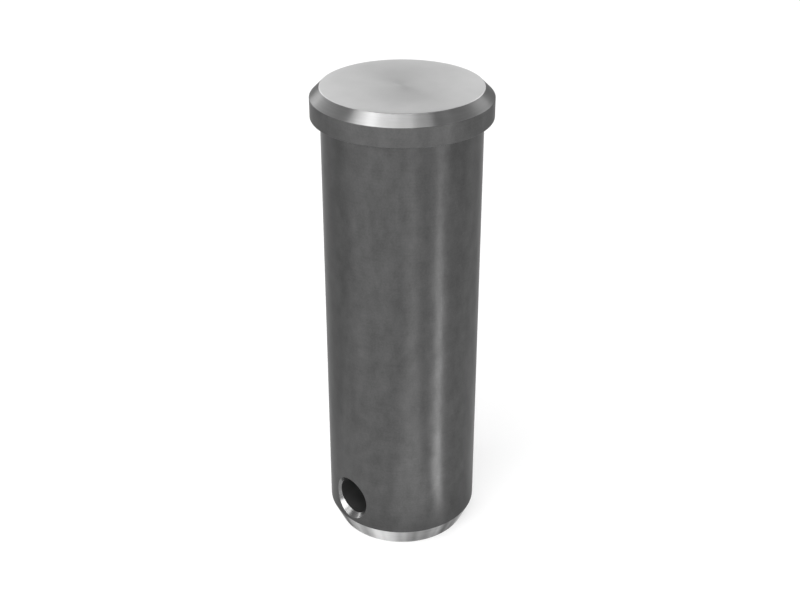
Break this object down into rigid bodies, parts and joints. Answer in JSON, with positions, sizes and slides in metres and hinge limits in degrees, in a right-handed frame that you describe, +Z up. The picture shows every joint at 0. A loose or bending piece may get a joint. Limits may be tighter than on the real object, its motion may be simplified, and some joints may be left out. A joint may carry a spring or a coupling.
{
  "type": "clevis pin",
  "caption": "Turned steel clevis pin: plain round shank, thin flat head with a chamfer, tapered lead-in end and a countersunk cross hole for a cotter.",
  "frame": {"origin": "centre of the flat end face, at the end away from the head, where the pin stands on a surface", "axes": "+Z up the pin's axis to the head; the cross hole runs along Y"},
  "size_m": [0.0286, 0.0286, 0.0794],
  "materials": {
    "turned_steel": "dark smooth shank and rim, brighter machined head face, chamfer, tapered end and countersinks"
  },
  "bodies": {
    "root": {"clevis_pin": "turned_steel"}
  },
  "joints": []
}
